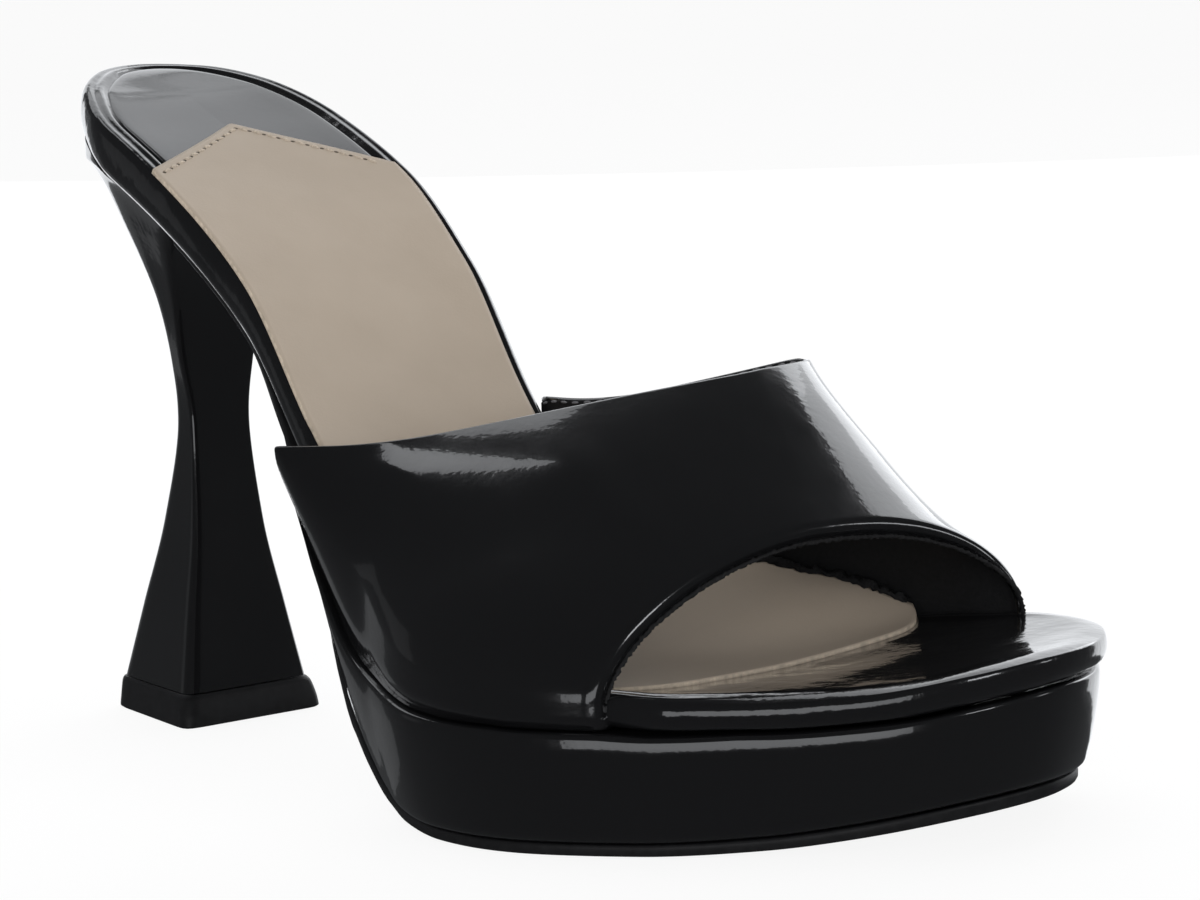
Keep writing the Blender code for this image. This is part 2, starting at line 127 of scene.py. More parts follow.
paper, _, _, paper_shader = new_material("floor_paper", FLOOR_ROUGHNESS)
paper_shader.inputs["Base Color"].default_value = FLOOR_GREY
paper_shader.inputs["Specular IOR Level"].default_value = FLOOR_SHEEN
paper_shader.inputs["Emission Color"].default_value = FLOOR_WHITE
paper_shader.inputs["Emission Strength"].default_value = FLOOR_GLOW
cage = bmesh.new()
profile = [cage.verts.new((reach, 0.0, height)) for reach, height in FLOOR_PROFILE]
edges = [cage.edges.new(pair) for pair in zip(profile, profile[1:])]
bmesh.ops.spin(cage, geom=profile + edges, axis=(0, 0, 1), cent=(0, 0, 0), angle=2.0 * math.pi,
               steps=FLOOR_STEPS, use_merge=True)
bmesh.ops.remove_doubles(cage, verts=cage.verts, dist=FLOOR_MERGE)
bmesh.ops.recalc_face_normals(cage, faces=cage.faces)
bmesh.ops.reverse_faces(cage, faces=cage.faces)
floor = link_object("floor", cage, [paper])
floor.visible_glossy = False
print("floor out to", FLOOR_PROFILE[-1][0], "m")

# %% [markdown]
# ## Light
# Plain soft studio light. Patent leather shows little colour of its own: what the eye reads as its form are
# the reflections of the studio, so each panel has its place for a reason. A wide pale backdrop behind the
# shoe, with a strip above it and a wall beside it, whitens the surfaces that turn away, and two dim walls
# soften the edges on the other side. A soft box behind gives the grey patch under the collar, and three in
# front draw the bright lines along the rolled edges. Two key lights stay out of the reflections: they are
# there for the matte leather. Directions are in degrees and sizes in metres.

# %% Light
PANEL_COLUMNS = ("name", "azimuth", "elevation", "distance", "size", "radiance", "mirrored")
PANELS = (
    ("backdrop", 134.0, 8.0, 1.60, (2.4, 1.5), 1.0, True),
    ("backdrop_top", 150.0, 42.5, 1.70, (2.1, 0.5), 0.75, True),
    ("soft_box_behind", 181.0, 56.0, 1.40, (0.36, 0.34), 1.15, True),
    ("side_wall", 104.0, 26.0, 1.60, (0.8, 0.95), 1.5, True),
    ("wall_left", 213.0, 6.0, 1.60, (0.4, 0.6), 0.06, True),
    ("wall_rear", 178.0, -4.0, 1.60, (0.45, 0.9), 0.08, True),
    ("soft_box_right", 7.0, 20.0, 1.50, (0.36, 0.2), 5.0, True),
    ("soft_box_far_right", 45.0, 13.0, 1.50, (0.3, 0.16), 3.0, True),
    ("soft_box_left", -45.0, -4.0, 1.50, (1.4, 0.42), 1.4, True),
    ("key_above", 180.0, 82.0, 1.50, (1.3, 1.3), 1.75, False),
    ("key_front", -38.0, 30.0, 1.50, (1.0, 0.8), 0.65, False),
)
PANEL_AIM = Vector((0.0, 0.0, 0.06))
PANEL_TINT, KEY_TINT = (0.95, 0.97, 1.0), (1.0, 1.0, 1.0)
SKY_TINT, SKY_STRENGTH = (0.92, 0.96, 1.0, 1.0), 0.05


def add_panel(name, azimuth, elevation, distance, size, radiance, mirrored):
    light = bpy.data.lights.new(name, "AREA")
    light.shape = "RECTANGLE"
    light.color = PANEL_TINT if mirrored else KEY_TINT
    light.size, light.size_y = size
    light.energy = radiance * size[0] * size[1] * math.pi
    panel = bpy.data.objects.new(name, light)
    away = direction(math.radians(azimuth), math.radians(elevation))
    panel.location = PANEL_AIM + away * distance
    panel.rotation_euler = (-away).to_track_quat("-Z", "Y").to_euler()
    panel.visible_camera = False
    panel.visible_glossy = mirrored
    bpy.context.scene.collection.objects.link(panel)
    return panel


panels = [add_panel(**dict(zip(PANEL_COLUMNS, row))) for row in PANELS]
world = bpy.data.worlds.new("studio")
bpy.context.scene.world = world
world.use_nodes = True
sky = world.node_tree.nodes["Background"]
sky.inputs["Color"].default_value = SKY_TINT
sky.inputs["Strength"].default_value = SKY_STRENGTH
bpy.context.scene.view_settings.view_transform = "Standard"
print(len(panels), "light panels")

# %% [markdown]
# ## The last
# A shoe is built on a last, and a few rows of sizes describe it: how wide it is, where its middle runs, and
# how high the footbed stands at each station along the length. It could be sculpted, but rows of sizes can
# be measured and changed. A smooth curve that never overshoots joins them. A station is a share of the
# length, 0 at the back of the heel and 1 at the tip of the toe.

# %% Smooth curves
def smooth_curve(knots, values):
    """Function for a smooth curve through the knots that never overshoots them."""
    steps = [(b - a) / (q - p) for p, q, a, b in zip(knots, knots[1:], values, values[1:])]
    inner = [2.0 * a * b / (a + b) if a * b > 0.0 else 0.0 for a, b in zip(steps, steps[1:])]
    slope = [steps[0], *inner, steps[-1]]

    def curve(at):
        at = min(max(at, knots[0]), knots[-1])
        k = max(index for index in range(len(knots) - 1) if knots[index] <= at)
        width = knots[k + 1] - knots[k]
        share = (at - knots[k]) / width
        blend = share * share * (3.0 - 2.0 * share)
        lift = share * (1.0 - share) ** 2 * width * slope[k]
        settle = share * share * (1.0 - share) * width * slope[k + 1]
        return values[k] + (values[k + 1] - values[k]) * blend + lift - settle

    return curve


def ramp(start, end, at):
    """0 before start, 1 after end, smooth between."""
    share = min(max((at - start) / (end - start), 0.0), 1.0)
    return share * share * (3.0 - 2.0 * share)


print("ramp halfway:", ramp(0.0, 1.0, 0.5))

# %% Last
LENGTH, HEEL_END_Y = 212.0, 105.65
LAST_COLUMNS = ("station", "half_width", "centre_x", "bed_z")
LAST = (
    (0.000, 0.0, -7.6, 120.4),
    (0.030, 13.4, -7.8, 119.0),
    (0.080, 21.0, -8.7, 116.1),
    (0.160, 25.7, -9.5, 109.4),
    (0.260, 26.2, -9.8, 99.3),
    (0.360, 24.8, -10.6, 83.9),
    (0.460, 24.1, -13.2, 61.0),
    (0.560, 29.5, -14.8, 41.6),
    (0.660, 38.8, -10.9, 29.3),
    (0.750, 43.2, -2.9, 25.9),
    (0.830, 41.0, 6.3, 25.7),
    (0.900, 35.3, 14.0, 25.8),
    (0.950, 25.6, 16.3, 26.5),
    (0.985, 13.9, 16.7, 28.1),
    (1.000, 0.0, 18.0, 29.2),
)
SLOPE_STEP = 0.0015


def end_angle(station):
    """Angle that opens quickly at both ends, so that a round end is read smoothly."""
    return math.acos(1.0 - 2.0 * min(max(station, 0.0), 1.0))


def angle_station(angle):
    """Station at which that angle is reached."""
    return (1.0 - math.cos(angle)) / 2.0


last = dict(zip(LAST_COLUMNS, zip(*LAST)))
last_angles = [end_angle(station) for station in last["station"]]
width_curve = smooth_curve(last_angles, last["half_width"])
centre_curve = smooth_curve(last_angles, last["centre_x"])
height_curve = smooth_curve(last_angles, last["bed_z"])


def half_width(station):
    return width_curve(end_angle(station))


def centre_x(station):
    return centre_curve(end_angle(station))


def bed_z(station):
    return height_curve(end_angle(station))


def station_y(station):
    return HEEL_END_Y - LENGTH * station


def y_station(y):
    return min(max((HEEL_END_Y - y) / LENGTH, 0.0), 1.0)


def stretch(height, station):
    """Upright height that a sheet of thickness 1 takes on a slope."""
    fall = height(max(station - SLOPE_STEP, 0.0)) - height(min(station + SLOPE_STEP, 1.0))
    return math.hypot(1.0, fall / (2.0 * SLOPE_STEP * LENGTH))


print("ball width", round(2.0 * max(last["half_width"]), 1), "mm")

# %% [markdown]
# The forefoot is not level across. On the inner side the footbed is banked, higher at the rim than in the
# middle, and the tip of the sole springs up a little more. Each piece could have this in its own form. Here
# it is one soft bend of space that every point passes through on its way into a mesh, so that pieces which
# touch keep touching.

# %% Bank of the forefoot
CENTRING = Vector((-0.665, 0.350, 0.0))
TOE_LIFT, LIFT_STATIONS, LIFT_FROM_X, LIFT_OVER = 1.8, (0.84, 0.94), 10.0, 30.0
BANK, BANK_OVER, BANK_POWER, BANK_STATIONS = 2.3, 42.0, 1.4, (0.70, 0.82)
BANK_RISES, BANK_FADES = (8.0, 20.0), (30.0, 48.0)


def placed(point):
    """Vertex position in metres. On the inner side the toe of the sole is lifted and the footbed banked."""
    station = y_station(point.y)
    share = max(point.x - LIFT_FROM_X, 0.0) / LIFT_OVER
    lift = TOE_LIFT * share * share * ramp(*LIFT_STATIONS, station)
    bank = BANK * (max(point.x, 0.0) / BANK_OVER) ** BANK_POWER * ramp(*BANK_STATIONS, station)
    weight = ramp(*BANK_RISES, point.z) * (1.0 - ramp(*BANK_FADES, point.z))
    return (point + CENTRING + Vector((0.0, 0.0, lift + (bank - lift) * weight))) * MM


print("bank at the inner rim", BANK, "mm")

# %% [markdown]
# ## Finishes
# Patent leather is leather under a clear, hard, glossy film. The film is not quite flat: it follows the
# leather in long soft waves, which bend the edges of reflections. So the shader has a dark base, a smooth
# coat, and a weak bump made of two noises, one long and one short.

# %% Noise and bump
NOISE_LOW, NOISE_HIGH = 0.3, 0.7


def object_noise(nodes, links, scale, detail, roughness):
    """Noise on Object coordinates, so that it stays on the piece."""
    place = nodes.new("ShaderNodeTexCoord")
    noise = nodes.new("ShaderNodeTexNoise")
    noise.inputs["Scale"].default_value = scale
    noise.inputs["Detail"].default_value = detail
    noise.inputs["Roughness"].default_value = roughness
    links.new(place.outputs["Object"], noise.inputs["Vector"])
    return noise


def add_bump(nodes, links, noise, strength, distance, before=None):
    bump = nodes.new("ShaderNodeBump")
    bump.inputs["Strength"].default_value = strength
    bump.inputs["Distance"].default_value = distance
    links.new(noise.outputs["Fac"], bump.inputs["Height"])
    if before:
        links.new(before.outputs["Normal"], bump.inputs["Normal"])
    return bump


def ranged(nodes, links, noise, low, high):
    """Noise brought into a range."""
    bring = nodes.new("ShaderNodeMapRange")
    bring.inputs["From Min"].default_value = NOISE_LOW
    bring.inputs["From Max"].default_value = NOISE_HIGH
    bring.inputs["To Min"].default_value = low
    bring.inputs["To Max"].default_value = high
    links.new(noise.outputs["Fac"], bring.inputs["Value"])
    return bring


def two_tones(nodes, links, noise, dark, light, socket):
    """Colour that wanders between two tones with the noise."""
    blend = nodes.new("ShaderNodeMix")
    blend.data_type = "RGBA"
    blend.inputs["A"].default_value = (*dark, 1.0)
    blend.inputs["B"].default_value = (*light, 1.0)
    links.new(ranged(nodes, links, noise, 0.0, 1.0).outputs["Result"], blend.inputs["Factor"])
    links.new(blend.outputs["Result"], socket)


print("noise is read from", NOISE_LOW, "to", NOISE_HIGH)

# %% Patent leather
PATENT_BLACK, PATENT_BASE, COAT_IOR = (0.0045, 0.0045, 0.005, 1.0), 0.12, 1.55
LONG_WAVES, LONG_WAVE_HEIGHT = 70.0, 0.0012
SHORT_WAVES, SHORT_WAVE_HEIGHT, SHORT_WAVE_SHARE = 700.0, 0.0002, 0.8
SMEARS, SMEAR_ROUGHNESS = 35.0, (0.08, 0.2)


def patent_leather(name, wave_strength, wave_scale=LONG_WAVES, gloss=0.03):
    material, nodes, links, shader = new_material(name, PATENT_BASE)
    shader.inputs["Base Color"].default_value = PATENT_BLACK
    shader.inputs["Coat Weight"].default_value = 1.0
    shader.inputs["Coat Roughness"].default_value = gloss
    shader.inputs["Coat IOR"].default_value = COAT_IOR
    long_waves = object_noise(nodes, links, wave_scale, 2.0, 0.4)
    short_waves = object_noise(nodes, links, SHORT_WAVES, 2.0, 0.5)
    bump = add_bump(nodes, links, long_waves, wave_strength, LONG_WAVE_HEIGHT)
    bump = add_bump(nodes, links, short_waves, wave_strength * SHORT_WAVE_SHARE, SHORT_WAVE_HEIGHT, bump)
    links.new(bump.outputs["Normal"], shader.inputs["Normal"])
    links.new(bump.outputs["Normal"], shader.inputs["Coat Normal"])
    smears = object_noise(nodes, links, SMEARS, 4.0, 0.6)
    links.new(ranged(nodes, links, smears, *SMEAR_ROUGHNESS).outputs["Result"], shader.inputs["Roughness"])
    return material


patent_upper = patent_leather("patent_upper", 0.11)
patent_wrap = patent_leather("patent_wrap", 0.12)
patent_heel = patent_leather("patent_heel", 0.10)
patent_pad = patent_leather("patent_pad", 0.05, wave_scale=40.0, gloss=0.12)
patent_bed = patent_leather("patent_bed", 0.24, wave_scale=120.0, gloss=0.06)
patents = (patent_upper, patent_wrap, patent_heel, patent_pad, patent_bed)
print("patent finishes:", [made.name for made in patents])

# %% [markdown]
# The sock is smooth taupe leather with a fine grain and slightly uneven colour. Its cut edge is paler,
# because there the dye does not reach. The rubber of the sole is matte, and the lining inside the band is
# black cloth. Matte finishes share one function: a tone that wanders a little, and a fine roughness to the
# touch.

# %% Other finishes
SOCK_ROUGHNESS, SOCK_PATCHES = 0.5, 45.0
SOCK_RISE, SOCK_RISE_BUMP = 48.0, (0.3, 0.0022)
SOCK_GRAIN, SOCK_GRAIN_BUMP = 1900.0, (0.25, 0.00012)
TONE_SPREAD = 0.25


def taupe_leather(name, light, dark):
    material, nodes, links, shader = new_material(name, SOCK_ROUGHNESS)
    patches = object_noise(nodes, links, SOCK_PATCHES, 5.0, 0.6)
    two_tones(nodes, links, patches, dark, light, shader.inputs["Base Color"])
    grain = object_noise(nodes, links, SOCK_GRAIN, 3.0, 0.6)
    rise = object_noise(nodes, links, SOCK_RISE, 2.0, 0.5)
    bump = add_bump(nodes, links, rise, *SOCK_RISE_BUMP)
    bump = add_bump(nodes, links, grain, *SOCK_GRAIN_BUMP, bump)
    links.new(bump.outputs["Normal"], shader.inputs["Normal"])
    return material


def matte_finish(name, colour, roughness, scale, strength, distance):
    """Matte finish with a fine roughness to the touch."""
    material, nodes, links, shader = new_material(name, roughness)
    tone = object_noise(nodes, links, scale, 3.0, 0.6)
    dark = [(1.0 - TONE_SPREAD) * part for part in colour]
    light = [(1.0 + TONE_SPREAD) * part for part in colour]
    two_tones(nodes, links, tone, dark, light, shader.inputs["Base Color"])
    bump = add_bump(nodes, links, tone, strength, distance)
    links.new(bump.outputs["Normal"], shader.inputs["Normal"])
    return material


sock_leather = taupe_leather("sock_leather", (0.50, 0.42, 0.338), (0.46, 0.384, 0.306))
cut_edge = matte_finish("cut_edge", (0.50, 0.42, 0.33), 0.8, 900.0, 0.3, 0.0002)
rubber = matte_finish("sole_rubber", (0.008, 0.008, 0.009), 0.45, 700.0, 0.2, 0.0001)
lining_cloth = matte_finish("lining_cloth", (0.008, 0.008, 0.009), 0.75, 1600.0, 0.4, 0.0002)
black_fibre = matte_finish("black_fibre", (0.014, 0.014, 0.015), 0.9, 1800.0, 0.9, 0.0004)
taupe_thread = matte_finish("taupe_thread", (0.56, 0.48, 0.39), 0.7, 2500.0, 0.5, 0.0001)
grey_thread = matte_finish("grey_thread", (0.16, 0.16, 0.17), 0.6, 2500.0, 0.5, 0.0001)
# Dark brown for painted shade in the needle holes between the stitches
painted_hole_shade = matte_finish("painted_hole_shade", (0.10, 0.08, 0.06), 0.9, 900.0, 0.2, 0.0001)
print(len(bpy.data.materials), "materials so far")

# %% [markdown]
# ## Footbed
# The footbed is a board with padding under patent leather. Seen from the side it is a soft bead about 9 mm
# deep. Instead of stacking cubes, one grid is wrapped round it: across the grid runs the outline of the
# foot, and along it the section of the bead, from the middle of the top over the rim to the middle of the
# underside.

# %% Bodies from the outline
FULL_TURN = 2.0 * math.pi
OUTLINE_STEP, TURN_TOLERANCE, MERGE = 0.01, 1e-6, 2e-6


def outline(turn_angle, inset):
    """Point of the outline, moved in square to it. The angle runs from the heel round the outer side."""
    def at(angle):
        station = angle_station(angle)
        return centre_x(station) - math.copysign(half_width(station), math.sin(angle)), station_y(station)

    (x0, y0), (x1, y1) = at(turn_angle - OUTLINE_STEP), at(turn_angle + OUTLINE_STEP)
    size = math.hypot(x1 - x0, y1 - y0)
    x, y = at(turn_angle)
    return x + inset * (y0 - y1) / size, y + inset * (x1 - x0) / size


def ring(span, inset, count, closing):
    """Points round a stretch of the outline, closed by a straight line where the stretch is not the whole."""
    first, end = span
    whole = end - first > FULL_TURN - TURN_TOLERANCE
    steps = count if whole else count - closing
    angles = [first + (end - first) * k / (steps if whole else steps - 1) for k in range(steps)]
    points = [outline(angle, inset(angle)) for angle in angles]
    if not whole:
        (x0, y0), (x1, y1) = points[-1], points[0]
        shares = [(k + 1) / (closing + 1) for k in range(closing)]
        points += [(x0 + (x1 - x0) * share, y0 + (y1 - y0) * share) for share in shares]
    return points


def ring_points(row, span, spine, count, closing):
    """One ring of a body, drawn in towards its spine by the row's share and set at the row's height."""
    inset, share, height = row
    points = ring(span, inset, count, closing)
    front = min(y for _, y in points)
    rear = max(y for _, y in points)
    low, high = (station_y(station) for station in spine)
    loop = []
    for x, y in points:
        spine_y = low + (high - low) * (rear - y) / (rear - front)
        x += (centre_x(y_station(spine_y)) - x) * share
        y += (spine_y - y) * share
        loop.append(Vector((x, y, height(x, y))))
    return loop


def outline_body(name, span, spine, rows, materials, count=360, closing=30):
    """Closed body from one grid. Each row is (inset, share of the way to the spine, height function)."""
    cage = bmesh.new()
    bmesh.ops.create_grid(cage, x_segments=count, y_segments=len(rows) - 1, size=0.5)
    rings = [ring_points(row, span, spine, count, closing) for row in rows]
    for vertex in cage.verts:
        along = round((vertex.co.x + 0.5) * count) % count
        row = round((vertex.co.y + 0.5) * (len(rows) - 1))
        vertex.co = placed(rings[row][along])
    bmesh.ops.remove_doubles(cage, verts=cage.verts, dist=MERGE)
    bmesh.ops.recalc_face_normals(cage, faces=cage.faces)
    return link_object(name, cage, materials)


def put_on_shoe(piece, slot, *nodes):
    """The piece moves with the shoe and stands for these solids. The slot, a finish of the record, is not
    used.
    """
    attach(piece, "root")
    if nodes:
        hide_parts(*nodes)
    print(piece.name, len(piece.data.polygons), "faces")


print("outer side at half length", [round(value, 1) for value in outline(math.pi / 2.0, 0.0)])

# %% [markdown]
# The rim of the footbed is two shallow ridges with a groove inside them, where the covering is drawn over
# the padding. Before the toe the ridges and the hollow of the footbed run out into one broad round
# shoulder.

# %% Footbed
BED_DEPTH, BED_DEPTH_AT_TOE, DEPTH_CHANGES = 9.3, 5.4, (0.60, 0.70)
BED_DISH, DISH_HALF_WIDTH, DISH_RUNS_OUT = 1.4, 22.0, (0.80, 0.90)
BED_INSET_UNDER_UPPER, INSET_STARTS, INSET_ENDS = 3.3, (0.45, 0.58), (0.80, 0.86)
RIM_INNER, LOWEST_RIDGE, TOE_SHOULDER = 5.0, -0.6, 2.2
BED_SPINE, TOP_SHARES, UNDER_SHARES = (0.10, 0.90), (1.0, 0.8, 0.6, 0.4, 0.25, 0.12, 0.04), (0.3, 0.7, 1.0)
# Rows of the rim: inset, and height against the edge of the footbed, from the top round to the underside
RIM = (
    (4.6, -0.55), (4.25, -0.12), (3.9, 0.08), (3.45, 0.12), (3.05, -0.02), (2.7, -0.14), (2.35, -0.1),
    (1.95, 0.06), (1.55, 0.06), (1.2, -0.1), (0.9, -0.38), (0.6, -0.9), (0.36, -1.6), (0.16, -2.5),
    (0.04, -3.6), (0.0, -4.7), (0.04, -5.8), (0.18, -6.9), (0.45, -7.8), (0.9, -8.6), (1.6, -9.1),
    (2.6, -9.3),
)


def bed_depth(station):
    return BED_DEPTH + (BED_DEPTH_AT_TOE - BED_DEPTH) * ramp(*DEPTH_CHANGES, station)


def bed_inset(station):
    """The footbed steps in where the feet of the upper pass down beside it."""
    return BED_INSET_UNDER_UPPER * ramp(*INSET_STARTS, station) * (1.0 - ramp(*INSET_ENDS, station))


def bed_top(x, y):
    """Top of the footbed, hollowed across its width up to the toe."""
    at = y_station(y)
    half = max(half_width(at), 1.0)
    v = min(abs(x - centre_x(at)) / half, 1.0)
    deep = BED_DISH * (1.0 - ramp(*DISH_RUNS_OUT, at))
    return bed_z(at) - deep * (1.0 - v * v) * min(half / DISH_HALF_WIDTH, 1.0) ** 2


def bed_ring(inset):
    """Inset that also steps in under the upper."""
    return lambda angle: inset + bed_inset(angle_station(angle))


def bed_side(inset, drop):
    """Height of a ring of the rim. Its shallow ridges give way to a broad round shoulder at the toe."""
    shoulder = -TOE_SHOULDER * max(1.0 - inset / RIM_INNER, 0.0) ** 2
    toe_drop = shoulder if drop > LOWEST_RIDGE else min(drop, shoulder)

    def height(x, y):
        at = y_station(y)
        here = drop + (toe_drop - drop) * ramp(*DISH_RUNS_OUT, at)
        return bed_z(at) + here * bed_depth(at) / BED_DEPTH
    return height


rows = [(bed_ring(RIM_INNER), share, bed_top) for share in TOP_SHARES]
rows += [(bed_ring(inset), 0.0, bed_side(inset, drop)) for inset, drop in RIM]
rows += [(bed_ring(RIM[-1][0]), share, bed_side(*RIM[-1])) for share in UNDER_SHARES]
footbed = outline_body("footbed", (0.0, FULL_TURN), BED_SPINE, rows, [patent_bed])
put_on_shoe(footbed, "patent", "insole")

# %% [markdown]
# ## Platform
# Under the forefoot stands a wrapped platform. Its wall leans in towards the floor, and its upper edge is a
# narrow ridge that carries the foot of the band. A cut box would leave hard seams, so it comes from the
# same wrapped grid as the footbed, closed behind the ball by a straight line. Two tables give the underside
# and the ridge by station, before the toe springs up.

# %% Heights of the platform
GAP = 0.3
TOE_SPRING, SPRING_STATION, SPRING_POWER = 7.2, 0.78, 2.5
UNDERSIDE = (
    (0.42, 60.5), (0.44, 52.2), (0.46, 43), (0.475, 34.5), (0.49, 25), (0.514, 14.6), (0.552, 7.4),
    (0.576, 4.3), (0.606, 2.6), (0.648, 2.05), (0.66, 2.0), (0.78, 2.0), (1.00, 2.0),
)
RIDGE = (
    (0.44, 52.8), (0.46, 45.2), (0.475, 39.4), (0.5, 32.2), (0.525, 27.4), (0.55, 24.7), (0.58, 23),
    (0.62, 21.6), (0.66, 20.7), (0.7, 20.3), (0.79, 20.1), (0.83, 19.4), (0.9, 18.6), (0.96, 17.5), (1, 17.3),
)
LEAST_RIDGE_SHARE = 0.12

under_curve = smooth_curve(*zip(*UNDERSIDE))
ridge_curve = smooth_curve(*zip(*RIDGE))


def toe_spring(station):
    return TOE_SPRING * max((station - SPRING_STATION) / (1.0 - SPRING_STATION), 0.0) ** SPRING_POWER


def sheet_top_z(station):
    """Top of the outsole: along the footbed at the arch, then down round the back of the platform."""
    at_arch = bed_z(station) - bed_depth(station) - 1.5 * GAP
    if station < UNDERSIDE[0][0]:
        return at_arch
    return min(at_arch, under_curve(station) + toe_spring(station))


def platform_foot_z(station):
    return sheet_top_z(station) + GAP * stretch(sheet_top_z, station)


def platform_top(x, y):
    at = y_station(y)
    return bed_z(at) - bed_depth(at) - GAP


def ridge_z(station):
    """Edge of the platform that the foot of the upper stands on."""
    top = bed_z(station) - bed_depth(station) - GAP
    foot = platform_foot_z(station)
    ridge = ridge_curve(station) + toe_spring(station)
    return max(min(ridge, top - 0.5 * GAP), foot + LEAST_RIDGE_SHARE * (top - foot))


widest = max(LAST, key=lambda row: row[1])[0]
print("platform wall at the ball", round(ridge_z(widest) - platform_foot_z(widest), 1), "mm high")

# %% Platform
BALL_STATION, PLATFORM_BACK, PLATFORM_SPINE = 0.61, 0.445, (0.50, 0.90)
CORE_INSET, CORE_FOOT_INSET, CORE_SHARES, FOOT_SHARES = 4.5, 3.9, (1.0, 0.5, 0.0), (0.5, 1.0)
ROUND_LIMIT = 0.3
# Rows of the wall: inset, share of its height, and drop from the ridge or rise from the foot
WALL = (
    (3.6, 1.0, 0.10), (2.4, 1.0, 0.05), (1.75, 1.0, -0.10), (1.35, 1.0, -0.45), (1.2, 1.0, -1.0),
    (1.3, 0.80, 0.0), (1.65, 0.62, 0.0), (2.15, 0.44, 0.0), (2.75, 0.26, 0.0),
    (3.35, 0.0, 1.9), (3.6, 0.0, 1.0), (3.85, 0.0, 0.5), (4.3, 0.0, 0.15), (5.0, 0.0, 0.0),
)


def wall_ring(inset):
    """Inset that follows the band out beside the footbed behind the ball."""
    def at(angle):
        station = angle_station(angle)
        return inset + (bed_inset(station) - BED_INSET_UNDER_UPPER if station < BALL_STATION else 0.0)
    return at


def wall_height(share, offset):
    def height(x, y):
        at = y_station(y)
        foot, ridge = platform_foot_z(at), ridge_z(at)
        limit = ROUND_LIMIT * (ridge - foot)
        return foot + (ridge - foot) * share + min(max(offset, -limit), limit)
    return height


def front_span(station):
    return end_angle(station), FULL_TURN - end_angle(station)


rows = [(wall_ring(CORE_INSET), share, platform_top) for share in CORE_SHARES]
rows += [(wall_ring(CORE_FOOT_INSET), 0.0, platform_top)]
rows += [(wall_ring(inset), 0.0, wall_height(share, offset)) for inset, share, offset in WALL]
rows += [(wall_ring(WALL[-1][0]), share, wall_height(0.0, 0.0)) for share in FOOT_SHARES]
platform = outline_body("platform_wrap", front_span(PLATFORM_BACK), PLATFORM_SPINE, rows, [patent_wrap])
put_on_shoe(platform, "patent", "platform")

# %% [markdown]
# ## Outsole
# A thin rubber sheet covers the underside of the platform and runs up the arch to the heel. The wrapped
# grid makes it too, with a rounded edge. Its inset changes along the length: it keeps to the edge of the
# footbed at the arch and stands back under the platform.

# %% Outsole
SOLE_SHEET, SOLE_BACK, SOLE_SPINE = 2.0, 0.243, (0.32, 0.90)
SOLE_INSETS = (
    (0.24, 3.0), (0.34, 2.4), (0.42, 0.4), (0.48, 0.8), (0.52, 2.4), (0.58, 4.4), (0.65, 5.0), (1.00, 5.0),
)
SOLE_EDGE = ((0.25, 0.0), (0.05, 0.12), (0.0, 0.3), (0.05, 0.75), (0.3, 0.93), (0.8, 1.0))
SOLE_TOP_SHARES, SOLE_UNDER_SHARES = (1.0, 0.5), (0.15, 0.35, 0.6, 0.8, 1.0)

sole_inset_curve = smooth_curve(*zip(*SOLE_INSETS))


def sole_ring(inset):
    return lambda angle: inset + sole_inset_curve(angle_station(angle))


def sole_height(depth_share):
    def height(x, y):
        at = y_station(y)
        return sheet_top_z(at) - depth_share * SOLE_SHEET * stretch(sheet_top_z, at)
    return height


rows = [(sole_ring(SOLE_EDGE[0][0]), share, sole_height(0.0)) for share in SOLE_TOP_SHARES]
rows += [(sole_ring(inset), 0.0, sole_height(depth)) for inset, depth in SOLE_EDGE]
rows += [(sole_ring(SOLE_EDGE[-1][0]), share, sole_height(1.0)) for share in SOLE_UNDER_SHARES]
outsole = outline_body("rubber_outsole", front_span(SOLE_BACK), SOLE_SPINE, rows, [rubber])
put_on_shoe(outsole, "rubber", "outsole")

# %% [markdown]
# ## Heel
# The heel is wide at the seat and at the floor and narrow at its waist. Its breast, the face towards the
# toe, is flat and meets the sides in crisp edges, and its back is rounded. A box with bevels could not give
# the waist, so a tube of sections makes it: one grid, closed by merging its two long edges. A rubber piece
# with straight corners stands under it.

# %% Heel
# Sections: z, slant towards the seat, y of breast and back, half width at breast and back, middle, squareness
HEEL = (
    (6.0, 0.00, 73.3, 102.7, 13.3, 9.9, -10.2, 9.0),
    (20.0, 0.00, 75.5, 97.9, 10.6, 8.4, -9.9, 7.0),
    (36.0, 0.00, 77.7, 92.8, 7.7, 6.2, -9.6, 5.0),
    (54.0, 0.00, 79.2, 87.9, 6.4, 5.2, -9.4, 3.6),
    (66.0, 0.00, 78.9, 86.9, 8.0, 6.3, -9.5, 3.2),
    (77.0, 0.05, 76.4, 88.6, 10.4, 8.8, -9.5, 3.0),
    (84.0, 0.30, 69.5, 93.2, 15.4, 13.3, -9.4, 2.8),
    (90.0, 0.70, 59.5, 98.8, 20.0, 18.6, -9.3, 2.7),
    (95.0, 1.00, 55.3, 103.4, 24.2, 24.0, -9.2, 2.6),
)
TOP_PIECE = (
    (0.0, 0.00, 71.9, 102.7, 14.9, 10.9, -10.2, 12.0),
    (0.4, 0.00, 71.6, 103.0, 15.2, 11.2, -10.2, 12.0),
    (2.0, 0.00, 71.8, 102.9, 15.0, 11.0, -10.2, 12.0),
    (5.2, 0.00, 72.6, 102.7, 14.1, 10.5, -10.2, 12.0),
    (5.8, 0.00, 73.0, 102.4, 13.6, 10.2, -10.2, 12.0),
)
HEEL_GRID, TOP_PIECE_GRID, SHARP_ANGLE = (160, 96), (128, 24), math.radians(50.0)
BREAST_SQUARENESS, SEAT_MARGIN = 14.0, 1.2


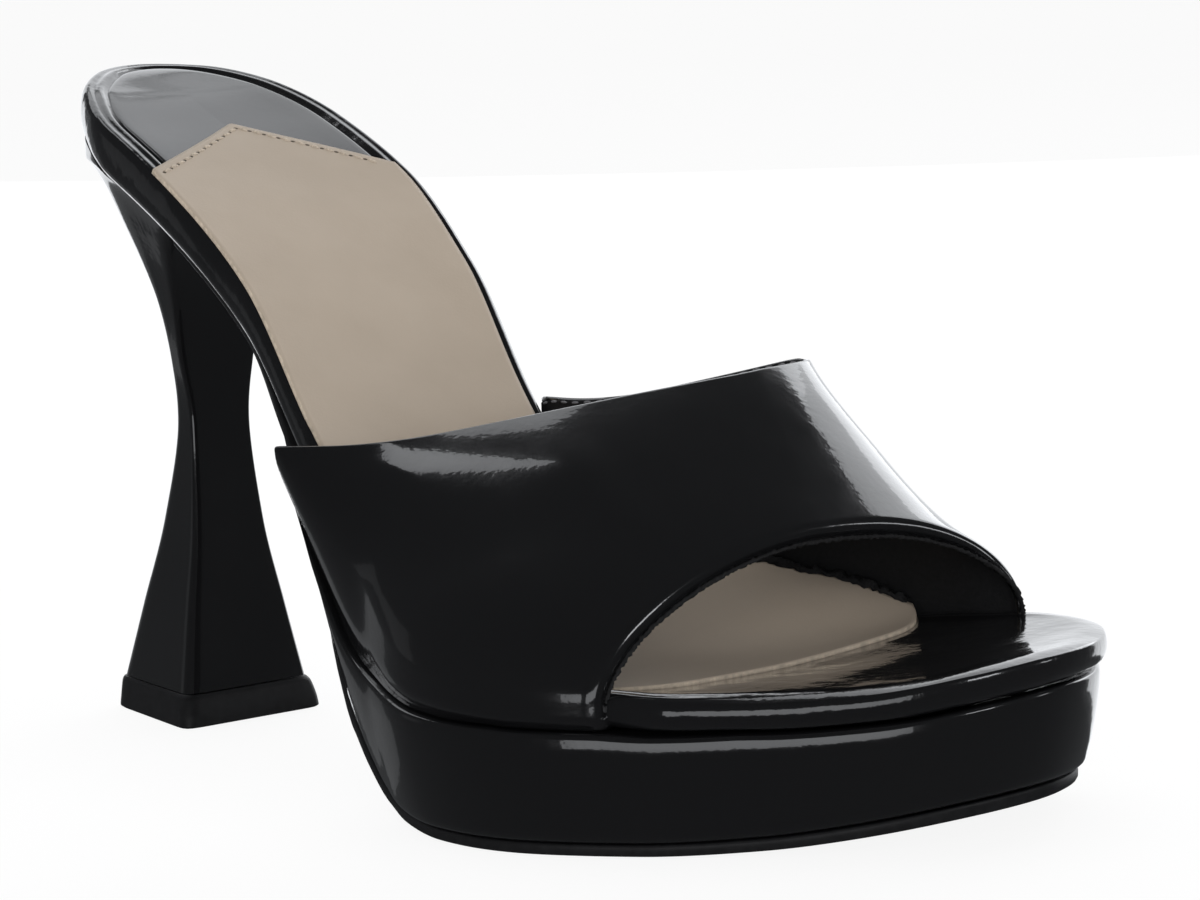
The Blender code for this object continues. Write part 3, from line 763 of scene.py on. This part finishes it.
def heel_point(section, angle):
    """Point of a section: a flat breast with crisp corners in front, a rounder back behind."""
    z, slant, breast, heel_back, breast_half, back_half, centre, squareness = section
    along, across = -math.cos(angle), math.sin(angle)
    power = BREAST_SQUARENESS if along < 0.0 else squareness
    size = (abs(along) ** power + abs(across) ** power) ** (1.0 / power)
    along, across = along / size, across / size
    y = (breast + heel_back) / 2.0 + along * (heel_back - breast) / 2.0
    half = (breast_half + back_half) / 2.0 + along * (back_half - breast_half) / 2.0
    seat = y_station(y)
    limit = half_width(seat) - SEAT_MARGIN
    reach = min(max(across * half, -limit), limit) if slant > 0.0 else across * half
    return Vector((centre + reach, y, z + (bed_z(seat) - bed_depth(seat) - GAP - z) * slant))


def section_tube(name, table, grid, materials):
    """Tube through the sections of a table, closed at both ends."""
    around, along = grid
    cage = bmesh.new()
    bmesh.ops.create_grid(cage, x_segments=around, y_segments=along, size=0.5)
    curves = [smooth_curve(range(len(table)), column) for column in zip(*table)]
    for vertex in cage.verts:
        turn_angle = FULL_TURN * (round((vertex.co.x + 0.5) * around) % around) / around
        section = [curve((vertex.co.y + 0.5) * (len(table) - 1)) for curve in curves]
        vertex.co = placed(heel_point(section, turn_angle))
    bmesh.ops.remove_doubles(cage, verts=cage.verts, dist=MERGE)
    bmesh.ops.holes_fill(cage, edges=cage.edges, sides=0)
    bmesh.ops.recalc_face_normals(cage, faces=cage.faces)
    made = link_object(name, cage, materials)
    made.data.set_sharp_from_angle(angle=SHARP_ANGLE)
    return made


heel = section_tube("heel_wrap", HEEL, HEEL_GRID, [patent_heel])
put_on_shoe(heel, "patent", "heel_block")
top_piece = section_tube("heel_top_piece", TOP_PIECE, TOP_PIECE_GRID, [rubber])
put_on_shoe(top_piece, "rubber", "top_piece")

# %% [markdown]
# ## Sock
# A taupe leather sock lies on the footbed. It is a sheet, so it starts as a grid that follows the hollow of
# the footbed, and Solidify gives it its thickness. The second material goes to the rim, where the cut
# leather shows. Under the band its inner edge curls up against the lining, which a soft rise on that side
# gives.

# %% Places on the footbed
SOCK_INSET, SOCK_SHIFT, SOCK_SHEET, SOCK_LIFT = 1.9, Vector((-0.95, 0.0, 0.0)), 0.9, 0.65
CHEVRON_PEAK, CHEVRON_PEAK_V = 0.155, 0.09
CHEVRON_FALL_OUTER, CHEVRON_FALL_INNER = 0.072, 0.105
SOCK_FRONT_STATION, SOCK_FRONT_SLANT, SOCK_CORNER, SOCK_CORNER_CUT = 0.808, 0.020, 0.6, 0.035


def edge_point(station, side, inset):
    """Point of one side of the outline, moved in square to it."""
    turn_angle = end_angle(station)
    return outline(turn_angle if side < 0.0 else FULL_TURN - turn_angle, inset)


def on_bed(station, v, inset, height):
    """Point above the hollow of the footbed, v from the outer edge (-1) to the inner edge (1)."""
    inset += bed_inset(station)
    outer_x, outer_y = edge_point(station, -1.0, inset)
    inner_x, inner_y = edge_point(station, 1.0, inset)
    share = (v + 1.0) / 2.0
    x, y = outer_x + (inner_x - outer_x) * share, outer_y + (inner_y - outer_y) * share
    return Vector((x, y, bed_top(x, y) + height * stretch(bed_z, y_station(y))))


def chevron_station(v):
    fall = CHEVRON_FALL_OUTER if v < CHEVRON_PEAK_V else CHEVRON_FALL_INNER
    return CHEVRON_PEAK + fall * abs(v - CHEVRON_PEAK_V)


def sock_front(v):
    corner = max(abs(v) - SOCK_CORNER, 0.0) / (1.0 - SOCK_CORNER)
    return SOCK_FRONT_STATION - SOCK_FRONT_SLANT * v - SOCK_CORNER_CUT * corner * corner


print("sock from station", CHEVRON_PEAK, "to", SOCK_FRONT_STATION)

# %% Sock
MEDIAL_RISE, MEDIAL_REACH = 6.2, 2.2
RISE_FROM, RISE_STARTS, RISE_ENDS = 0.0, (0.56, 0.66), (0.69, 0.785)
SOCK_GRID = (130, 60)


def sheet_piece(name, place, grid, thickness, materials, even=True):
    """Sheet of even thickness under an outer surface: place(u, v), with u and v from 0 to 1."""
    rows, columns = grid
    cage = bmesh.new()
    bmesh.ops.create_grid(cage, x_segments=rows, y_segments=columns, size=0.5)
    for vertex in cage.verts:
        vertex.co = placed(place(vertex.co.x + 0.5, vertex.co.y + 0.5))
    cage.normal_update()
    if sum(face.normal.z * face.calc_area() for face in cage.faces) < 0.0:
        bmesh.ops.reverse_faces(cage, faces=cage.faces)
    made = link_object(name, cage, materials)
    wall = made.modifiers.new("thickness", "SOLIDIFY")
    wall.thickness = thickness * MM
    wall.offset = -1.0
    wall.use_even_offset = even
    wall.material_offset_rim = len(materials) - 1
    return made


def sock_place(u, v):
    v = 2.0 * v - 1.0
    station = chevron_station(v) + (sock_front(v) - chevron_station(v)) * u
    under_band = ramp(RISE_FROM, 1.0, v) * ramp(*RISE_STARTS, station)
    rise = MEDIAL_RISE * under_band * (1.0 - ramp(*RISE_ENDS, station))
    reach = Vector((MEDIAL_REACH * under_band, 0.0, rise))
    return on_bed(station, v, SOCK_INSET, SOCK_LIFT) + SOCK_SHIFT + reach


sock = sheet_piece("taupe_sock", sock_place, SOCK_GRID, SOCK_SHEET, [sock_leather, cut_edge])
put_on_shoe(sock, "sock", "sock_lining")

# %% [markdown]
# Behind the chevron lies a black patent pad with soft edges and a dark groove round it. It could be a part
# of the footbed's mesh, but a body of its own keeps the groove clean. The sock covers its front end, so the
# pad simply runs on under the chevron and is cut off straight there.

# %% Heel pad
PAD_BACK_SPAN, PAD_SPINE, PAD_POINTS = 0.27, (0.06, 0.18), 240
PAD_TOP_INSET, PAD_TOP_RISE, PAD_SHARES = 6.8, 0.36, (1.0, 0.75, 0.5, 0.3, 0.15, 0.0)
PAD_EDGE = ((5.9, 0.32), (5.4, 0.24), (5.1, 0.1), (5.0, -0.15), (5.2, -0.5))


def fixed(inset):
    return lambda angle: inset


def pad_height(rise):
    return lambda x, y: bed_top(x, y) + rise * stretch(bed_z, y_station(y))


span = (-end_angle(PAD_BACK_SPAN), end_angle(PAD_BACK_SPAN))
rows = [(fixed(PAD_TOP_INSET), share, pad_height(PAD_TOP_RISE)) for share in PAD_SHARES]
rows += [(fixed(inset), 0.0, pad_height(rise)) for inset, rise in PAD_EDGE]
rows += [(fixed(PAD_EDGE[-1][0]), 1.0, pad_height(PAD_EDGE[-1][1]))]
pad = outline_body("heel_pad", span, PAD_SPINE, rows, [patent_pad], count=PAD_POINTS)
put_on_shoe(pad, "patent", "heel_sock")

# %% [markdown]
# ## Band
# The band over the instep is one sheet of patent leather over a black cloth lining. Its outer face could be
# sculpted, but a formula keeps collar, crest and feet on measured lines. It has two shares: u runs from the
# collar to the toe opening, and w from the outer foot over the instep to the inner foot. Each section is a
# rounded arch that leans inwards, its crest follows a parabola, and its feet go down beside the footbed to
# the ridge of the platform. Near the collar the outer side flares out.

# %% Form of the band
UPPER_WALL, UPPER_CLEARANCE = 1.5, 0.4
COLLAR_OUTER, COLLAR_INNER, COLLAR_CREST = 0.465, 0.455, 0.677
COLLAR_SHARPNESS_OUTER, COLLAR_SHARPNESS_INNER, COLLAR_SKEW = 1.414, 1.06, 0.049
FRONT_OUTER, FRONT_INNER = 0.8132, 0.8346
CREST = ((0.55, 79.9), (0.70, 64.6), (0.85, 41.2))
LEAN_STATION, LEAN, LEAN_PER_STATION = 0.70, 27.5, -206.0
ROUND_OUTER, ROUND_INNER = 1.816, 2.40
COLLAR_FLARE, FLARE_DOWN = 5.5, 1.0
FLARE_REACH_CORNER, FLARE_REACH_FRONT, REACH_CHANGES = 0.34, 0.56, (0.08, 0.22)
SKIRT_SHARE, FOOT_BELOW_BED = 0.07, 1.0
BAND_TUCK, TUCK_FROM = 1.4, 0.45


def crest_z(station):
    """Parabola through the three crest heights."""
    total = 0.0
    for here, height in CREST:
        share = 1.0
        for there, _ in CREST:
            if there != here:
                share *= (station - there) / (here - there)
        total += height * share
    return total


def collar_station(angle):
    turned = angle + COLLAR_SKEW * math.sin(angle) ** 2
    sharpness = COLLAR_SHARPNESS_OUTER if turned < math.pi / 2.0 else COLLAR_SHARPNESS_INNER
    foot = COLLAR_OUTER + (COLLAR_INNER - COLLAR_OUTER) * angle / math.pi
    return foot + (COLLAR_CREST - COLLAR_OUTER) * max(math.sin(turned), 0.0) ** sharpness


def front_station(angle):
    return FRONT_OUTER + (FRONT_INNER - FRONT_OUTER) * angle / math.pi


def band_place(u, w):
    """Point of the outer face, before its ridge and its rolled edges."""
    arch = min(max((w - SKIRT_SHARE) / (1.0 - 2.0 * SKIRT_SHARE), 0.0), 1.0)
    angle = math.pi * arch
    station = collar_station(angle) + (front_station(angle) - collar_station(angle)) * u
    reach = half_width(station) + UPPER_WALL + UPPER_CLEARANCE - bed_inset(station)
    roundness = 2.0 / (ROUND_OUTER if arch < 0.5 else ROUND_INNER)
    cosine, sine = math.cos(angle), max(math.sin(angle), 0.0)
    lean = (LEAN + LEAN_PER_STATION * (station - LEAN_STATION)) * sine ** 2
    beyond = max(SKIRT_SHARE - w, w - 1.0 + SKIRT_SHARE, 0.0) / SKIRT_SHARE
    flare_reach = FLARE_REACH_CORNER + (FLARE_REACH_FRONT - FLARE_REACH_CORNER) * ramp(*REACH_CHANGES, w)
    flare = COLLAR_FLARE * (1.0 - ramp(0.0, flare_reach, u)) * (1.0 - ramp(0.0, FLARE_DOWN, beyond))
    flare *= max(cosine, 0.0) ** 2
    x = centre_x(station) - math.copysign(reach * abs(cosine) ** roundness, cosine) + lean - flare
    foot = bed_z(station) - FOOT_BELOW_BED
    z = foot + (crest_z(station) - foot) * sine ** roundness
    z += (ridge_z(station) + GAP - z) * beyond
    x += math.copysign(BAND_TUCK * ramp(TUCK_FROM, 1.0, beyond) ** 2, cosine)
    return Vector((x, station_y(station), z))


print("crest at the collar", round(crest_z(COLLAR_CREST), 1), "mm")

# %% [markdown]
# The leather does not lie quite flat below the collar: a soft ridge runs along the outer side, and it bends
# the bright patch there. It is given in the band's own sizes, as a height along the normal of the
# face.

# %% Face of the band and its soft ridge
BAND_ROWS, BAND_COLUMNS, EDGE_CROWDING = 72, 200, 0.85
SWELL_FROM, SWELL_TO, SWELL_FEATHER = 0.20, 0.295, 0.045
SWELL_CREST_AT, CREST_PER_SHARE = 11.0, 80.0
SWELL_HEIGHT, SWELL_POWER, SWELL_FADE = 0.9, 1.4, 24.0


def row_share(share):
    """Rows closer together near both edges, where the sheet is rolled."""
    return share - EDGE_CROWDING * math.sin(FULL_TURN * share) / FULL_TURN


def face_normal(i, j):
    """Normal of the outer face."""
    down = base_face[min(i + 1, BAND_ROWS)][j] - base_face[max(i - 1, 0)][j]
    over = base_face[i][min(j + 1, BAND_COLUMNS)] - base_face[i][max(j - 1, 0)]
    return down.cross(over).normalized()


def collar_swell(i, j):
    """Height of the soft ridge below the collar: it rises to its crest and fades out slowly."""
    distance = (base_face[i][j] - base_face[0][j]).length
    w = j / BAND_COLUMNS
    rises = ramp(SWELL_FROM - SWELL_FEATHER, SWELL_FROM, w)
    window = rises * (1.0 - ramp(SWELL_TO, SWELL_TO + SWELL_FEATHER, w))
    crest_at = SWELL_CREST_AT + CREST_PER_SHARE * (w - SWELL_FROM)
    if distance < crest_at:
        share = 1.0 - (1.0 - distance / crest_at) ** SWELL_POWER
    else:
        share = 1.0 - ramp(crest_at, crest_at + SWELL_FADE, distance)
    return SWELL_HEIGHT * window * share


band_rows, band_columns = range(BAND_ROWS + 1), range(BAND_COLUMNS + 1)
shares = [row_share(i / BAND_ROWS) for i in band_rows]
base_face = [[band_place(share, j / BAND_COLUMNS) for j in band_columns] for share in shares]
normals = [[face_normal(i, j) for j in band_columns] for i in band_rows]
if normals[BAND_ROWS // 2][BAND_COLUMNS // 2].z < 0.0:
    normals = [[-normal for normal in row] for row in normals]
swells = [[collar_swell(i, j) for j in band_columns] for i in band_rows]
outer_face = [[base_face[i][j] + normals[i][j] * swells[i][j] for j in band_columns] for i in band_rows]
print("ridge below the collar", round(max(map(max, swells)), 2), "mm high")

# %% [markdown]
# The edges of the band are rolled: near the toe opening and the collar the sheet turns inwards in a small
# round. Each column of the grid runs from collar to toe opening, so the roll is made by moving points
# inwards by their distance from the edge. The lining is a second sheet under the first, set back a few rows
# from both edges.

# %% Shell and lining
FRONT_ROLL, COLLAR_ROLL = 2.2, 0.9
SHELL, LINING, LINING_GAP, LINING_ROW = 0.9, 0.5, 0.05, 4


def quarter_round(distance, radius):
    """How far a rolled edge has turned in at a distance from the edge."""
    rest = max(radius - distance, 0.0)
    return radius - math.sqrt(radius * radius - rest * rest)


def layer_place(depth, first_row=0):
    """Point of a layer at a depth under the outer face. A first row keeps it back from the edges."""
    def place(u, w):
        i, j = round(first_row + u * (BAND_ROWS - 2 * first_row)), round(w * BAND_COLUMNS)
        point = outer_face[i][j]
        turned = depth + quarter_round((point - outer_face[BAND_ROWS][j]).length, FRONT_ROLL)
        turned += quarter_round((point - outer_face[0][j]).length, COLLAR_ROLL)
        return point - normals[i][j] * turned
    return place


shell = sheet_piece("band_shell", layer_place(0.0), (BAND_ROWS, BAND_COLUMNS), SHELL, [patent_upper], False)
put_on_shoe(shell, "patent", "upper")
lining_grid = (BAND_ROWS - 2 * LINING_ROW, BAND_COLUMNS)
lining_place = layer_place(SHELL + LINING_GAP, LINING_ROW)
lining = sheet_piece("band_lining", lining_place, lining_grid, LINING, [lining_cloth], False)
put_on_shoe(lining, "patent")

# %% [markdown]
# ## Threads and cut edges
# Along the chevron the sock is sewn down. Stitches could be one long curve, but a thread dips into the
# leather after each one. So they are small stretched spheres in a row, each set a little askew as a sewing
# machine leaves it. Between them lies a dark flat sphere: painted shade where the thread dips into its needle
# hole.

# %% Stitches of the chevron
STITCH_PITCH, STITCH_SLANT, HOLE_SHADE_HALF = 2.7, 0.3, 0.42
STITCH_SIZE, HOLE_SHADE_SIZE = (0.74, 0.66, 0.7), (1.0, 0.7, 0.12)
STITCH_AROUND, STITCH_ALONG = 10, 6
CHEVRON_SEAM, SEAM_ENDS, SEAM_STEPS = 2.1, 0.93, 60
UPWARD_STEP = 0.5


def spaced(points, pitch):
    """Points at equal distances along a line."""
    found, carry = [points[0]], pitch
    for start, end in zip(points, points[1:]):
        length = (end - start).length
        while carry <= length:
            found.append(start + (end - start) * (carry / length))
            carry += pitch
        carry -= length
    return found


def stitch_row(name, pairs, upward, slant, size, materials):
    """One stretched sphere for each pair of ends. Size is the share of the length, then width and height."""
    share, width, height = size
    cage = bmesh.new()
    for start, end in pairs:
        middle = (start + end) / 2.0
        along = (end - start).normalized()
        out = upward(middle)
        along = (along + along.cross(out).normalized() * slant).normalized()
        aside = along.cross(out).normalized()
        axes = (along * (end - start).length * share, aside * width, out * height)
        shape = Matrix([axis * MM for axis in axes]).transposed().to_4x4()
        bmesh.ops.create_uvsphere(cage, u_segments=STITCH_AROUND, v_segments=STITCH_ALONG, radius=0.5,
                                  matrix=Matrix.Translation(placed(middle)) @ shape)
    return link_object(name, cage, materials)


def seam_point(v):
    return on_bed(chevron_station(v) + CHEVRON_SEAM / LENGTH, v, SOCK_INSET, SOCK_LIFT) + SOCK_SHIFT


def bed_upward(point):
    rise = bed_z(y_station(point.y + UPWARD_STEP)) - bed_z(y_station(point.y - UPWARD_STEP))
    return Vector((0.0, -rise, 2.0 * UPWARD_STEP)).normalized()


def hole_shade_ends(start, end):
    half = (end - start).normalized() * HOLE_SHADE_HALF
    return start - half, start + half


seam = [seam_point(SEAM_ENDS * (k / SEAM_STEPS - 1.0)) for k in range(2 * SEAM_STEPS + 1)]
spots = spaced(seam, STITCH_PITCH)
pairs = list(zip(spots, spots[1:]))
chevron_stitches = stitch_row(
    "chevron_stitches", pairs, bed_upward, STITCH_SLANT, STITCH_SIZE, [taupe_thread])
put_on_shoe(chevron_stitches, "sock")
# Dark flat spheres between the stitches: painted shade of the needle holes
hole_shade_pairs = [hole_shade_ends(*pair) for pair in pairs]
painted_hole_shades = stitch_row("painted_hole_shades", hole_shade_pairs, bed_upward, 0.0, HOLE_SHADE_SIZE, [painted_hole_shade])
put_on_shoe(painted_hole_shades, "sock")

# %% [markdown]
# Inside the collar a row of grey stitches holds the lining. It lies a short way below the edge, so each
# column of the band's grid is asked for the row that lies nearest to that distance.

# %% Seam inside the collar
COLLAR_SEAM, COLLAR_PITCH, COLLAR_SEAM_FROM, COLLAR_SEAM_TO = 1.4, 2.3, 0.30, 0.94
COLLAR_SIZE, SEAM_PROUD = (0.62, 0.5, 0.4), 0.15


def seam_row(j):
    """Row of the band's grid that lies at the seam's distance from the collar."""
    return min(range(BAND_ROWS), key=lambda i: abs((base_face[i][j] - base_face[0][j]).length - COLLAR_SEAM))


seam_columns = [j for j in band_columns if COLLAR_SEAM_FROM < j / BAND_COLUMNS < COLLAR_SEAM_TO]
seam_depth = SHELL + LINING + SEAM_PROUD
inside = [outer_face[seam_row(j)][j] - normals[seam_row(j)][j] * seam_depth for j in seam_columns]


def collar_inward(point):
    near = min(seam_columns, key=lambda j: (outer_face[0][j] - point).length)
    return -normals[seam_row(near)][near]


spots = spaced(inside, COLLAR_PITCH)
pairs = list(zip(spots, spots[1:]))
collar_stitches = stitch_row("collar_stitches", pairs, collar_inward, 0.0, COLLAR_SIZE, [grey_thread])
put_on_shoe(collar_stitches, "patent")

# %% [markdown]
# At the toe opening the raw edge of the band shows just inside the rolled patent leather, and beside the
# sock the torn edge of the lining. Hair could show their fibres, but at this size a rough cord looks the
# same and stays light: a grid closed into a tube, its radius uneven. The unevenness is drawn from the
# cord's own name, so it is the same each time.

# %% Raw edges
FIBRE_RADIUS, FIBRE_WOBBLE, FIBRE_STEP, FIBRE_FORWARD = 0.36, 0.6, 0.35, Vector((0.0, 0.05, 0.0))
FRINGE_RADIUS, FRINGE_WOBBLE, FRINGE_STEP, FRINGE_FROM, FRINGE_STEPS = 0.75, 0.85, 0.7, 0.66, 60
ACROSS_SHOE, ALONG_SHOE = Vector((1.0, 0.0, 0.0)), Vector((0.0, 1.0, 0.0))


def cord(name, points, radius, wobble, across, materials, sides=8):
    """Round cord along a line of points, its radius uneven."""
    chance = random.Random(name)
    count = len(points) - 1
    sizes = [[radius * (1.0 + wobble * chance.uniform(-1.0, 1.0)) for _ in range(sides)] for _ in points]
    cage = bmesh.new()
    bmesh.ops.create_grid(cage, x_segments=count, y_segments=sides, size=0.5)
    for vertex in cage.verts:
        at = round((vertex.co.x + 0.5) * count)
        side = round((vertex.co.y + 0.5) * sides) % sides
        along = (points[min(at + 1, count)] - points[max(at - 1, 0)]).normalized()
        right_axis = along.cross(across).normalized()
        up_axis = right_axis.cross(along)
        turn_angle = FULL_TURN * side / sides
        offset = right_axis * math.cos(turn_angle) + up_axis * math.sin(turn_angle)
        vertex.co = placed(points[at] + offset * sizes[at][side])
    bmesh.ops.remove_doubles(cage, verts=cage.verts, dist=MERGE)
    bmesh.ops.recalc_face_normals(cage, faces=cage.faces)
    return link_object(name, cage, materials)


def raw_point(j):
    return outer_face[BAND_ROWS][j] - normals[BAND_ROWS][j] * (FRONT_ROLL + FIBRE_RADIUS) - FIBRE_FORWARD


def fringe_point(k):
    return sock_place(FRINGE_FROM + (1.0 - FRINGE_FROM) * k / FRINGE_STEPS, 1.0)


raw_line = spaced([raw_point(j) for j in band_columns], FIBRE_STEP)
raw_edge = cord("band_raw_edge", raw_line, FIBRE_RADIUS, FIBRE_WOBBLE, ALONG_SHOE, [black_fibre])
put_on_shoe(raw_edge, "patent")
fringe_line = spaced([fringe_point(k) for k in range(FRINGE_STEPS)], FRINGE_STEP)
fringe = cord("lining_fringe", fringe_line, FRINGE_RADIUS, FRINGE_WOBBLE, ACROSS_SHOE, [black_fibre])
put_on_shoe(fringe, "patent")
